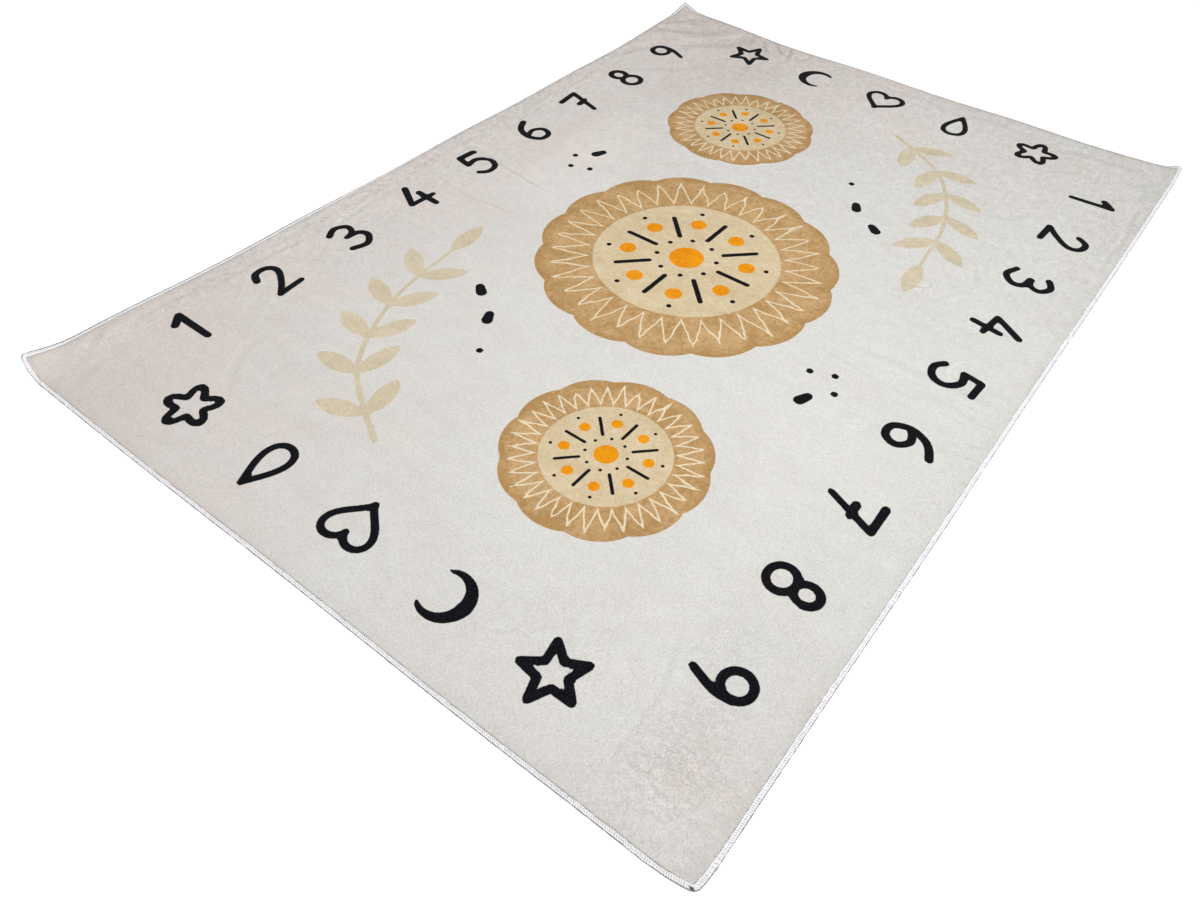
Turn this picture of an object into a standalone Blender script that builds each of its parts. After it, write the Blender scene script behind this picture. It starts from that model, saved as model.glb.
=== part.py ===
"""A printed plush rug for a child's room, lying on a floor.

It is one rectangle of short-pile cloth whose corners curl up a little, with a band of overlocked
thread wrapped round its rim.  Metres, +Z up.  The origin is on the floor under the middle of the
rug, and X runs along the long sides.
"""
from collections import namedtuple
from math import cos, hypot, pi, radians, sin

import bmesh
import bpy
import numpy as np

NAME = "printed_kids_rug"

# The flat cloth
LENGTH = 1.900            # along X
WIDTH = 1.330             # along Y
THICKNESS = 0.0050        # woven backing and pile together
CORNER_RADIUS = 0.009     # of the rounded corners, at the outside of the edging

# The edging: a rounded band with a slot that grips the pressed rim of the cloth
BAND_WIDTH = 0.0078
BAND_HEIGHT = 0.0050
SLOT_END = 0.0024         # how far inside the outline the slot stops
RIM_THICKNESS = 0.0018    # of the cloth where the thread presses it
GAP = 0.0003              # between thread and cloth

# How finely the cloth is divided, from a rounded corner towards the middle of a side
FINE_STEP = 0.012
FINE_COUNT = 8
GROWING_STEPS = (0.024, 0.048, 0.072)
MIDDLE_STEP = 0.115
ARC_STEPS = 5             # round one corner
BAND_STEPS = 6            # round the outside of the edging's section
SLOPE_STEP = 0.0001       # over which the laid cloth's slope is measured
SHARP_ANGLE = radians(40)

# Linear colours
PLUSH_COLOUR = (0.72, 0.71, 0.68)
PLUSH_ROUGHNESS = 0.95
THREAD_COLOUR = (0.86, 0.86, 0.90)
THREAD_ROUGHNESS = 0.60

# A corner curls round a straight fold that crosses it.  fold_x and fold_y are where the fold meets
# the long and the short side, turn is how far the tip has turned up, and tail is a low lift that
# fades away along the two sides over tail_x and tail_y.
Corner = namedtuple("Corner", "x_side y_side fold_x fold_y turn tail tail_x tail_y")
CORNERS = (
    Corner(-1, +1, 0.110, 0.056, radians(82), 0.008, 0.50, 0.07),
    Corner(+1, +1, 0.087, 0.062, radians(47), 0.010, 0.40, 0.36),
    Corner(+1, -1, 0.067, 0.068, radians(37), 0.005, 0.34, 0.30),
    Corner(-1, -1, 0.055, 0.076, radians(42), 0.000, 0.10, 0.10),
)

# A side wanders: at each crest of its wave it is pulled in and lifted by these amounts.
Side = namedtuple("Side", "axis sign pull lift wave_length crest_at")
SIDES = (
    Side(0, -1, 0.0015, 0.0000, 0.62, 0.025),
    Side(0, +1, 0.0010, 0.0030, 0.40, 0.100),
    Side(1, +1, 0.0010, 0.0030, 0.42, 0.050),
    Side(1, -1, 0.0012, 0.0000, 0.78, 0.060),
)
SIDE_REACH = 0.10         # how far into the cloth a side's wave is felt


def ease(t):
    """Falls smoothly from 1 at t = 0 to 0 at t = 1 and beyond."""
    t = np.clip(t, 0, 1)
    return (1 - t) ** 2 * (1 + 2 * t)


def middle_surface(u, v):
    """Where the points (u, v) of the flat cloth's middle plane are once the rug has been laid."""
    x, y = u.copy(), v.copy()
    z = np.full_like(u, THICKNESS / 2)
    for side in SIDES:
        across, along = (u, v) if side.axis == 0 else (v, u)
        half = (LENGTH, WIDTH)[side.axis] / 2
        wave = 0.5 + 0.5 * np.cos(2 * pi * (along - side.crest_at) / side.wave_length)
        wave *= ease((half - side.sign * across) / SIDE_REACH)
        moved = x if side.axis == 0 else y
        moved -= side.sign * side.pull * wave
        z += side.lift * wave
    for corner in CORNERS:
        from_x = LENGTH / 2 - corner.x_side * u
        from_y = WIDTH / 2 - corner.y_side * v
        depth = 1 / hypot(1 / corner.fold_x, 1 / corner.fold_y)
        radius = depth / corner.turn
        past = np.clip(1 - from_x / corner.fold_x - from_y / corner.fold_y, 0, None) * depth
        slide = radius * np.sin(past / radius) - past
        x += corner.x_side * depth / corner.fold_x * slide
        y += corner.y_side * depth / corner.fold_y * slide
        z += radius * (1 - np.cos(past / radius))
        z += corner.tail * ease(from_x / corner.tail_x) * ease(from_y / corner.tail_y)
    return np.stack([x, y, z], axis=-1)


def laid(points, height=0.0):
    """Plan points of the flat cloth, at a height above its middle plane, moved to the laid rug."""
    u, v = np.array(points, dtype=float).T
    along_u = middle_surface(u + SLOPE_STEP, v) - middle_surface(u - SLOPE_STEP, v)
    along_v = middle_surface(u, v + SLOPE_STEP) - middle_surface(u, v - SLOPE_STEP)
    normal = np.cross(along_u, along_v)
    normal /= np.linalg.norm(normal, axis=1, keepdims=True)
    return middle_surface(u, v) + height * normal


def stations(length):
    """Places along a side between its two rounded corners: close near the corners, wide between."""
    steps = [FINE_STEP] * FINE_COUNT + list(GROWING_STEPS)
    middle = length - 2 * CORNER_RADIUS - 2 * sum(steps)
    count = 2 * round(middle / (2 * MIDDLE_STEP))
    steps = steps + [middle / count] * count + steps[::-1]
    start = CORNER_RADIUS - length / 2
    return [start + sum(steps[:i]) for i in range(len(steps) + 1)]


def ring(inset):
    """Plan points of the outline moved inward by inset, anticlockwise from the low end of +X."""
    xs, ys = stations(LENGTH), stations(WIDTH)
    half_x, half_y = LENGTH / 2 - inset, WIDTH / 2 - inset
    sides = (
        [(half_x, y) for y in ys],
        [(x, half_y) for x in xs[::-1]],
        [(-half_x, y) for y in ys[::-1]],
        [(x, -half_y) for x in xs],
    )
    centres = ((xs[-1], ys[-1]), (xs[0], ys[-1]), (xs[0], ys[0]), (xs[-1], ys[0]))
    radius = CORNER_RADIUS - inset
    points = []
    for quarter, (side, (cx, cy)) in enumerate(zip(sides, centres)):
        points += side
        for step in range(1, ARC_STEPS):
            angle = pi / 2 * (quarter + step / ARC_STEPS)
            points.append((cx + radius * cos(angle), cy + radius * sin(angle)))
    return points


def join_rings(bm, inner, outer):
    """Triangles between two rings of vertices, all split the same way, so that the slot's faces
    run level with the rim's.  Where the inner vertices are one, at a corner, they fan out."""
    for i in range(len(outer)):
        bm.faces.new((inner[i - 1], outer[i - 1], outer[i]))
        if inner[i] is not inner[i - 1]:
            bm.faces.new((inner[i - 1], outer[i], inner[i]))


def finish_object(name, bm, material):
    """Turns a bmesh into a named, smooth-shaded object in the rug's collection."""
    mesh = bpy.data.meshes.new(name)
    bm.to_mesh(mesh)
    bm.free()
    mesh.materials.append(material)
    mesh.shade_smooth()
    mesh.set_sharp_from_angle(angle=SHARP_ANGLE)
    obj = bpy.data.objects.new(name, mesh)
    bpy.data.collections[NAME].objects.link(obj)
    return obj


def cloth_material(name, colour, roughness):
    material = bpy.data.materials.new(name)
    material.use_nodes = True
    shader = material.node_tree.nodes["Principled BSDF"]
    shader.inputs["Base Color"].default_value = (*colour, 1)
    shader.inputs["Roughness"].default_value = roughness
    shader.inputs["Metallic"].default_value = 0
    return material


def make_panel():
    """The cloth: its middle surface, thickened to full height inside and to a thin rim outside."""
    bm = bmesh.new()
    columns, rows = stations(LENGTH), stations(WIDTH)
    grid = [[bm.verts.new((x, y, 0)) for y in rows] for x in columns]
    for left, right in zip(grid, grid[1:]):
        for j in range(len(rows) - 1):
            bm.faces.new((left[j], right[j], right[j + 1], left[j + 1]))

    top_row = [column[-1] for column in grid]
    bottom_row = [column[0] for column in grid]
    border = []
    for side in (grid[-1], top_row[::-1], grid[0][::-1], bottom_row):
        border += side + [side[-1]] * (ARC_STEPS - 1)
    step_ring = [bm.verts.new((x, y, 0)) for x, y in ring(BAND_WIDTH + GAP)]
    rim_ring = [bm.verts.new((x, y, 0)) for x, y in ring(SLOT_END + GAP)]
    join_rings(bm, border, step_ring)
    join_rings(bm, step_ring, rim_ring)

    for vertex, place in zip(bm.verts, laid([vertex.co.xy for vertex in bm.verts])):
        vertex.co = place
    bmesh.ops.recalc_face_normals(bm, faces=bm.faces)

    panel = finish_object("rug_panel", bm, cloth_material("plush", PLUSH_COLOUR, PLUSH_ROUGHNESS))
    inner_count = len(columns) * len(rows)
    rim_share = RIM_THICKNESS / THICKNESS
    pile = panel.vertex_groups.new(name="pile")
    pile.add(list(range(inner_count)), 1.0, "REPLACE")
    pile.add(list(range(inner_count, len(panel.data.vertices))), rim_share, "REPLACE")
    solidify = panel.modifiers.new("thickness", "SOLIDIFY")
    solidify.thickness = THICKNESS
    solidify.offset = 0
    solidify.vertex_group = pile.name
    solidify.use_even_offset = True
    return panel


def edging_section():
    """The edging's section as (inset, height) pairs: an oval outside, then the slot."""
    section = []
    for step in range(BAND_STEPS + 1):
        angle = pi / 2 - pi * step / BAND_STEPS
        section.append((BAND_WIDTH * (1 - cos(angle)), BAND_HEIGHT / 2 * sin(angle)))
    slot = RIM_THICKNESS / 2 + GAP
    section += [(BAND_WIDTH, -slot), (SLOT_END, -slot), (SLOT_END, slot), (BAND_WIDTH, slot)]
    return section


def make_edging():
    """The overlocked band: the section carried round the outline of the laid cloth."""
    bm = bmesh.new()
    section = edging_section()
    rings = []
    for inset, height in section:
        rings.append([bm.verts.new(place) for place in laid(ring(inset), height)])
    for i, (inset, _) in enumerate(section):
        inner, outer = rings[i - 1], rings[i]
        if inset > section[i - 1][0]:
            inner, outer = outer, inner
        join_rings(bm, inner, outer)
    bmesh.ops.recalc_face_normals(bm, faces=bm.faces)
    material = cloth_material("thread", THREAD_COLOUR, THREAD_ROUGHNESS)
    return finish_object("serged_edge", bm, material)


def main():
    for old in list(bpy.data.objects):
        bpy.data.objects.remove(old, do_unlink=True)
    bpy.context.scene.collection.children.link(bpy.data.collections.new(NAME))
    make_panel()
    make_edging()


main()
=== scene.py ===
"""The looks of the printed kids rug: its plush cloth with the print, and the overlocked edge.

Plan coordinates u and v run over the flat cloth, along X and Y.  laid() bends them to where the
rug's corners curl.  A height is measured from the middle of the cloth's thickness.
"""
from collections import namedtuple
from math import atan, cos, hypot, pi, radians, sin

import bpy
import numpy as np
from mathutils import Matrix, Vector


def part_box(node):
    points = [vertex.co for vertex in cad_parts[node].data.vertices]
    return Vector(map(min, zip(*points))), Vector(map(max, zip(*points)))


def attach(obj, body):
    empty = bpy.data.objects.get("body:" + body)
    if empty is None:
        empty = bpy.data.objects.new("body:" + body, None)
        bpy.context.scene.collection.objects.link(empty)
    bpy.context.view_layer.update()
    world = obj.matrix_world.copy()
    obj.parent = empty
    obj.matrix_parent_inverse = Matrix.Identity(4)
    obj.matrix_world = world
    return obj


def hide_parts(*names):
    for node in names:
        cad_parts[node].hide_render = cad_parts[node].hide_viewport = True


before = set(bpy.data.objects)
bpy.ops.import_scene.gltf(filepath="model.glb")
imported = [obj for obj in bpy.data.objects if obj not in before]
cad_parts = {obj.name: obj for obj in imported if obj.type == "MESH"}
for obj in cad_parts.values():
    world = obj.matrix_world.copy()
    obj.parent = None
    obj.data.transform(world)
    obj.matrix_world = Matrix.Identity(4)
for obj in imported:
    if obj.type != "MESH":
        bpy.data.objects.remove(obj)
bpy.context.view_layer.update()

# ---------------------------------------------------------------- sizes
edge_low, edge_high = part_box("serged_edge")
LENGTH = edge_high.x - edge_low.x
WIDTH = edge_high.y - edge_low.y
THICKNESS = 0.0050
CORNER_RADIUS = 0.009
BAND_WIDTH = 0.0078
BAND_HEIGHT = 0.0050
SLOT_END = 0.0024
RIM_THICKNESS = 0.0018
GAP = 0.0003
SLOPE_STEP = 0.0001
MM = 0.001

CELL = 0.0058              # of the cloth's upper face
UNDER_FINE, UNDER_COARSE = 0.009, 0.060   # of its underside, near the corners and between them
UNDER_FINE_REACH = 0.13
ARC_STEPS = 5
RUN_X, RUN_Y = LENGTH - 2 * CORNER_RADIUS, WIDTH - 2 * CORNER_RADIUS   # the sides' straight parts
ARC = pi / 2 * CORNER_RADIUS
PERIMETER = 2 * (LENGTH + WIDTH) - (8 - 2 * pi) * CORNER_RADIUS

STITCH = 0.00323           # along the edge, from one wrap of the thread to the next
THREAD = 0.00080           # radius of a thread's bundle

Corner = namedtuple("Corner", "x_side y_side fold_x fold_y turn tail tail_x tail_y")
CORNERS = (
    Corner(-1, +1, 0.110, 0.056, radians(82), 0.008, 0.50, 0.07),
    Corner(+1, +1, 0.087, 0.062, radians(47), 0.010, 0.40, 0.36),
    Corner(+1, -1, 0.067, 0.068, radians(37), 0.005, 0.34, 0.30),
    Corner(-1, -1, 0.055, 0.076, radians(42), 0.000, 0.10, 0.10),
)
Side = namedtuple("Side", "axis sign pull lift wave_length crest_at")
SIDES = (
    Side(0, -1, 0.0015, 0.0000, 0.62, 0.025),
    Side(0, +1, 0.0010, 0.0030, 0.40, 0.100),
    Side(1, +1, 0.0010, 0.0030, 0.42, 0.050),
    Side(1, -1, 0.0012, 0.0000, 0.78, 0.060),
)
SIDE_REACH = 0.10


# ---------------------------------------------------------------- the laid cloth
def rows(*columns):
    """Columns put side by side, one row for each point."""
    return np.stack(columns, axis=-1)


def unit(vectors):
    return vectors / np.linalg.norm(vectors, axis=-1, keepdims=True)


def ease(t):
    """Falls smoothly from 1 at t = 0 to 0 at t = 1 and beyond."""
    t = np.clip(t, 0, 1)
    return (1 - t) ** 2 * (1 + 2 * t)


def middle_surface(u, v):
    """Where the flat cloth's points are once it is laid, as the CAD solid has them."""
    x, y = u.copy(), v.copy()
    z = np.full_like(u, THICKNESS / 2)
    for side in SIDES:
        across, along = (u, v) if side.axis == 0 else (v, u)
        half = (LENGTH, WIDTH)[side.axis] / 2
        wave = 0.5 + 0.5 * np.cos(2 * pi * (along - side.crest_at) / side.wave_length)
        wave *= ease((half - side.sign * across) / SIDE_REACH)
        moved = x if side.axis == 0 else y
        moved -= side.sign * side.pull * wave
        z += side.lift * wave
    for corner in CORNERS:
        from_x = LENGTH / 2 - corner.x_side * u
        from_y = WIDTH / 2 - corner.y_side * v
        depth = 1 / hypot(1 / corner.fold_x, 1 / corner.fold_y)
        radius = depth / corner.turn
        past = np.clip(1 - from_x / corner.fold_x - from_y / corner.fold_y, 0, None) * depth
        slide = radius * np.sin(past / radius) - past
        x += corner.x_side * depth / corner.fold_x * slide
        y += corner.y_side * depth / corner.fold_y * slide
        z += radius * (1 - np.cos(past / radius))
        z += corner.tail * ease(from_x / corner.tail_x) * ease(from_y / corner.tail_y)
    return rows(x, y, z)


def cloth_normal(u, v):
    along_u = middle_surface(u + SLOPE_STEP, v) - middle_surface(u - SLOPE_STEP, v)
    along_v = middle_surface(u, v + SLOPE_STEP) - middle_surface(u, v - SLOPE_STEP)
    return unit(np.cross(along_u, along_v))


def laid(u, v, height):
    """Places of plan points at heights above the cloth's middle, one row each."""
    return middle_surface(u, v) + np.reshape(height, (-1, 1)) * cloth_normal(u, v)


def soft_noise(u, v, cell, seed):
    """Smooth noise from -1 to 1 whose bumps are about cell metres apart."""
    count = int(4 / cell) + 3
    lattice = np.random.default_rng(seed).uniform(-1, 1, (count, count))
    gx, gy = (u + 2) / cell, (v + 2) / cell
    i, j = gx.astype(int), gy.astype(int)
    fx, fy = gx - i, gy - j
    fx = fx * fx * (3 - 2 * fx)
    fy = fy * fy * (3 - 2 * fy)
    low = lattice[i, j] * (1 - fx) + lattice[i + 1, j] * fx
    high = lattice[i, j + 1] * (1 - fx) + lattice[i + 1, j + 1] * fx
    return low * (1 - fy) + high * fy


# ---------------------------------------------------------------- the print
# Glyphs are strokes in a box 100 high, drawn for this rug.  "line" joins its points, "curve" runs
# smoothly through them, and "oval" is (centre x, centre y, half width, half height).
NUMERALS = {
    "1": [("line", [(-17, 26), (6, 48), (4, -48)])],
    "2": [("curve", [(-27, 24), (-12, 46), (16, 44), (25, 20), (2, -16), (-28, -46)]),
          ("line", [(-28, -46), (31, -44)])],
    "3": [("curve", [(-26, 36), (0, 48), (23, 32), (16, 10), (-6, 3)]),
          ("curve", [(-6, 3), (22, -3), (29, -26), (4, -48), (-29, -36)])],
    "4": [("line", [(5, 48), (-31, -14), (33, -17)]), ("line", [(15, 12), (11, -49)])],
    "5": [("line", [(27, 45), (-19, 46), (-24, 8)]),
          ("curve", [(-24, 8), (6, 14), (29, -10), (20, -39), (-8, -48), (-29, -34)])],
    "6": [("curve", [(21, 47), (-12, 26), (-27, -12), (-13, -44),
                     (16, -43), (26, -17), (4, 1), (-23, -10)])],
    "7": [("line", [(-30, 44), (30, 46), (-9, -48)]), ("line", [(-9, 0), (20, 2)])],
    "8": [("oval", (0, 24, 20, 22)), ("oval", (-1, -23, 26, 25))],
    "9": [("oval", (-3, 21, 24, 25)), ("curve", [(21, 25), (21, -5), (4, -48)])],
}
NUMERAL_SIZE = 0.088 / 100
SHAPE_SIZE = 0.094
SHAPE_ORDER = ("star", "moon", "heart", "drop", "flower")
BRUSH = 0.0070             # half the width of a border stroke
BORDER_INSET = 0.118       # from the rug's edge to the middle of a glyph
LONG_SPACING = 0.177
SHORT_SPACING = 0.188
GLYPH_SHIFT, GLYPH_TILT = 0.004, 0.09     # how far a glyph may be off its place, and turned

Sun = namedtuple("Sun", "u v radius scallops")
SUNS = (
    Sun(0.000, 0.000, 0.290, 15),
    Sun(-0.500, -0.195, 0.168, 11),
    Sun(0.500, 0.195, 0.168, 11),
)
# Sizes in a sun, as shares of its radius.
SCALLOP = 0.045            # depth of its scallops
SUN_FACE = 0.62            # radius of the pale middle
HUB = 0.115                # radius of the orange disc in its middle
SPOKES = 8
SPOKE_START, SPOKE_END, SPOKE_HALF = 0.25, 0.47, 0.017
BERRY_AT, BERRY = 0.40, 0.055
INNER_DOT_AT, OUTER_DOT_AT, DOT = 0.20, 0.53, 0.017
STEM_WIDTH = 0.0052        # half of it
LEAF_LENGTH = 0.047        # half of it
LEAF_WIDTH = 0.018         # half of it
LEAF_TURN = radians(48)    # from its stem
SPRIG = ((-0.70, 0.10), (-0.60, 0.25), (-0.44, 0.335), (-0.27, 0.36))
SEEDS = ((-0.37, 0.17, 0.5), (-0.32, 0.235, 0.9), (-0.20, -0.37, -0.4))    # u, v and turn
SEED_LENGTH = 0.009        # half of it, without its round ends
SEED_START, SEED_END = 0.0105, 0.0085     # half its width at each end
SPECKS = ((-0.135, -0.345), (-0.12, -0.385), (-0.16, -0.405), (-0.445, 0.12))
SPECK = 0.0068             # radius
FAR = 1.0                  # the distance stored where no shape of a layer is near
NEAR = 0.012               # how far outside a shape its distance is worked out


def smooth_through(points, steps=8):
    """A Catmull-Rom curve through the points."""
    p = np.array([points[0], *points, points[-1]], dtype=float)
    t = np.linspace(0, 1, steps, endpoint=False)[:, None]
    parts = []
    for a, b, c, d in zip(p, p[1:], p[2:], p[3:]):
        bend = (2 * a - 5 * b + 4 * c - d) * t ** 2 + (3 * b - a - 3 * c + d) * t ** 3
        parts.append(0.5 * (2 * b + (c - a) * t + bend))
    return np.vstack([*parts, p[-1:]])


def polar(radius, angle, centre=(0.0, 0.0)):
    return rows(centre[0] + radius * np.cos(angle), centre[1] + radius * np.sin(angle))


def stroke_points(kind, data):
    if kind == "line":
        return np.array(data, dtype=float)
    if kind == "curve":
        return smooth_through(data)
    cx, cy, half_width, half_height = data
    turn = np.linspace(0, 2 * pi, 25)
    return rows(cx + half_width * np.cos(turn), cy + half_height * np.sin(turn))


def shape_outline(name):
    """A closed outline in a box 1 wide and high."""
    turn = np.linspace(0, 2 * pi, 41) + pi / 2
    if name == "star":
        corner = np.linspace(0, 2 * pi, 11) + pi / 2
        return polar(np.where(np.arange(11) % 2, 0.22, 0.50), corner)
    if name == "heart":
        t = turn - pi / 2
        x = 0.46 * np.sin(t) ** 3
        y = 0.38 * np.cos(t) - 0.15 * np.cos(2 * t) - 0.06 * np.cos(3 * t) - 0.02 * np.cos(4 * t)
        return rows(x, y + 0.02)
    if name == "drop":
        t = turn - pi / 2
        return rows(0.36 * np.sin(t) * np.sin(t / 2) ** 1.4, 0.48 * np.cos(t))
    return polar(0.36 + 0.12 * np.cos(5 * (turn - pi / 2)), turn)


def beside_path(points, here):
    """For each place: its distance to a path of points, how far along the path the nearest point is
    (0 to 1), and 1 where it lies on the path's left or -1 on its right."""
    best = np.full(len(here), np.inf)
    share, side = np.zeros(len(here)), np.ones(len(here))
    for i, (a, b) in enumerate(zip(points, points[1:])):
        run, to_here = b - a, here - a
        along = np.clip(to_here @ run / max(run @ run, 1e-12), 0, 1)
        off = np.linalg.norm(to_here - along[:, None] * run, axis=1)
        nearer = off < best
        best[nearer] = off[nearer]
        share[nearer] = (i + along[nearer]) / (len(points) - 1)
        side[nearer] = np.where(run[0] * to_here[:, 1] > run[1] * to_here[:, 0], 1, -1)[nearer]
    return best, share, side


def close_to(places, low, high, margin):
    """The numbers of the places within a margin of a box, and those places."""
    inside = (places > np.subtract(low, margin)) & (places < np.add(high, margin))
    at = np.nonzero(inside.all(axis=1))[0]
    return at, places[at]


class Layer:
    """Signed distance, in metres, from plan points to one colour of the print: below 0 is inside."""

    def __init__(self, places):
        self.places = places
        self.distance = np.full(len(places), FAR)

    def add(self, at, distance):
        self.distance[at] = np.minimum(self.distance[at], distance)

    def stroke(self, points, start, end=None):
        """A round-ended stroke whose half width goes from start to end."""
        points = np.asarray(points, dtype=float)
        end = start if end is None else end
        at, here = close_to(self.places, points.min(0), points.max(0), max(start, end) + NEAR)
        off, share, _ = beside_path(points, here)
        self.add(at, off - start - (end - start) * share)

    def disc(self, centre, radius):
        at, here = close_to(self.places, centre, centre, radius + NEAR)
        self.add(at, np.hypot(*(here - centre).T) - radius)

    def leaf(self, root, angle, half_length, half_width):
        """A leaf with two round sides, pointing away from its root."""
        along = np.array([cos(angle), sin(angle)])
        centre = np.asarray(root) + along * half_length
        at, here = close_to(self.places, centre, centre, half_length + NEAR)
        forward = (here - centre) @ along
        sideways = np.abs((here - centre) @ np.array([-along[1], along[0]]))
        radius = (half_length ** 2 + half_width ** 2) / (2 * half_width)
        self.add(at, np.hypot(forward, sideways + radius - half_width) - radius)

    def sun(self, sun):
        """The sun's scalloped disc."""
        centre = (sun.u, sun.v)
        at, here = close_to(self.places, centre, centre, sun.radius + NEAR)
        x, y = (here - centre).T
        bump = np.abs(np.sin(sun.scallops * np.arctan2(y, x) / 2)) ** 0.7
        self.add(at, np.hypot(x, y) - sun.radius * (1 - SCALLOP * (1 - bump)))


def placed(points, centre, angle, size):
    """Points of a glyph's box, turned, sized and moved to a place on the rug."""
    c, s = cos(angle) * size, sin(angle) * size
    return np.asarray(points) @ np.array([[c, s], [-s, c]]) + centre


def border_places():
    """(glyph name, centre, turn) round the rug, the tops facing outward."""
    dice = np.random.default_rng(11)
    half_x, half_y = LENGTH / 2 - BORDER_INSET, WIDTH / 2 - BORDER_INSET
    numerals = sorted(NUMERALS)
    runs = (
        (numerals, (0, half_y), (1, 0), LONG_SPACING, 0),
        (SHAPE_ORDER, (half_x, 0), (0, -1), SHORT_SPACING, -pi / 2),
        (numerals, (0, -half_y), (-1, 0), LONG_SPACING, pi),
        (SHAPE_ORDER, (-half_x, 0), (0, 1), SHORT_SPACING, pi / 2),
    )
    for names, middle, direction, spacing, turn in runs:
        for i, name in enumerate(names):
            shift = (i - (len(names) - 1) / 2) * spacing
            centre = np.array(middle) + np.array(direction) * shift
            centre = centre + dice.uniform(-GLYPH_SHIFT, GLYPH_SHIFT, 2)
            yield name, centre, turn + dice.uniform(-GLYPH_TILT, GLYPH_TILT)


def print_border(ink):
    dice = np.random.default_rng(5)
    for name, centre, turn in border_places():
        if name in NUMERALS:
            for kind, data in NUMERALS[name]:
                points = placed(stroke_points(kind, data), centre, turn, NUMERAL_SIZE)
                ink.stroke(points, BRUSH * dice.uniform(0.95, 1.15), BRUSH * dice.uniform(0.80, 1.0))
        elif name == "moon":
            for tip in (60, 300):
                points = polar(0.40, np.radians(np.linspace(tip, 180, 12)), (0.10, 0.0))
                ink.stroke(placed(points, centre, turn, SHAPE_SIZE), BRUSH * 0.5, BRUSH * 1.7)
        else:
            points = placed(shape_outline(name), centre, turn, SHAPE_SIZE)
            ink.stroke(points, BRUSH * dice.uniform(0.86, 0.95))


def print_suns(tan, beige):
    for sun in SUNS:
        tan.sun(sun)
        beige.disc((sun.u, sun.v), sun.radius * SUN_FACE)


def print_sprigs(leaf, ink):
    """Two curved sprigs, one the other turned half round, with seeds and specks by them."""
    for sign in (1, -1):
        stem = sign * smooth_through(SPRIG, 10)
        leaf.stroke(stem, STEM_WIDTH, STEM_WIDTH * 0.7)
        for i in range(4, len(stem) - 3, 5):
            heading = np.arctan2(*(stem[i + 1] - stem[i])[::-1])
            for side in (-1, 1):
                leaf.leaf(stem[i], heading + side * LEAF_TURN, LEAF_LENGTH, LEAF_WIDTH)
        tip = np.arctan2(*(stem[-1] - stem[-2])[::-1])
        leaf.leaf(stem[-1], tip, LEAF_LENGTH * 1.1, LEAF_WIDTH)
        for seed_u, seed_v, turn in SEEDS:
            centre = sign * np.array([seed_u, seed_v])
            reach = SEED_LENGTH * np.array([cos(turn), sin(turn)])
            ink.stroke([centre - reach, centre + reach], SEED_START, SEED_END)
        for place in SPECKS:
            ink.disc(sign * np.array(place), SPECK)


def sun_places(u, v):
    """Each point's place in its nearest sun, whose radius is the unit."""
    best = np.full_like(u, np.inf)
    place = np.zeros((len(u), 3))
    for sun in SUNS:
        x, y = (u - sun.u) / sun.radius, (v - sun.v) / sun.radius
        nearer = np.hypot(x, y) < best
        best[nearer] = np.hypot(x, y)[nearer]
        place[nearer] = rows(x, y, np.full_like(x, sun.radius))[nearer]
    return place


def print_layers(u, v):
    """Each colour's name, with its signed distance at each plan point."""
    layers = {name: Layer(rows(u, v)) for name in ("tan", "beige", "leaf", "ink")}
    print_suns(layers["tan"], layers["beige"])
    print_sprigs(layers["leaf"], layers["ink"])
    print_border(layers["ink"])
    return {name: layer.distance for name, layer in layers.items()}


# ---------------------------------------------------------------- meshes
def new_object(name, verts, faces, materials, face_slots=None):
    mesh = bpy.data.meshes.new(name)
    mesh.from_pydata(verts.tolist(), [], faces)
    for material in materials:
        mesh.materials.append(material)
    if face_slots is not None:
        mesh.polygons.foreach_set("material_index", face_slots)
    mesh.shade_smooth()
    obj = bpy.data.objects.new(name, mesh)
    bpy.context.scene.collection.objects.link(obj)
    return obj


def store(mesh, name, values):
    """Keeps a number, or a row of three, for each of a mesh's vertices."""
    kind, key = ("FLOAT_VECTOR", "vector") if values.ndim == 2 else ("FLOAT", "value")
    mesh.attributes.new(name, kind, "POINT").data.foreach_set(key, values.ravel())


def even_stations(length, cell):
    """Places along a side between its rounded corners, about a cell apart."""
    reach = length / 2 - CORNER_RADIUS
    return np.linspace(-reach, reach, round(2 * reach / cell) + 1)


def graded_stations(length):
    """Places along a side that lie closer together near its ends, where the corners curl."""
    reach = length / 2 - CORNER_RADIUS
    fine = reach - UNDER_FINE * np.arange(round(UNDER_FINE_REACH / UNDER_FINE))
    inner = fine[-1] - UNDER_FINE
    coarse = np.linspace(-inner, inner, round(2 * inner / UNDER_COARSE) + 1)
    return np.concatenate([-fine, coarse, fine[::-1]])


def ring(inset, xs, ys):
    """Plan points of the outline moved inward by inset, anticlockwise from the low end of +X."""
    half_x, half_y = LENGTH / 2 - inset, WIDTH / 2 - inset
    turns = pi / 2 * np.arange(1, ARC_STEPS) / ARC_STEPS
    radius = CORNER_RADIUS - inset
    sides = (
        (np.full_like(ys, half_x), ys, xs[-1], ys[-1]),
        (xs[::-1], np.full_like(xs, half_y), xs[0], ys[-1]),
        (np.full_like(ys, -half_x), ys[::-1], xs[0], ys[0]),
        (xs, np.full_like(xs, -half_y), xs[-1], ys[0]),
    )
    points = []
    for quarter, (u, v, centre_u, centre_v) in enumerate(sides):
        points.append(rows(u, v))
        points.append(polar(radius, turns + quarter * pi / 2, (centre_u, centre_v)))
    return np.vstack(points)


def round_border(index):
    """The grid's border vertices in a ring's order, each corner's repeated for the arc."""
    sides = (index[-1, :], index[::-1, -1], index[0, ::-1], index[:, 0])
    return np.concatenate([np.append(side, [side[-1]] * (ARC_STEPS - 1)) for side in sides])


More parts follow.
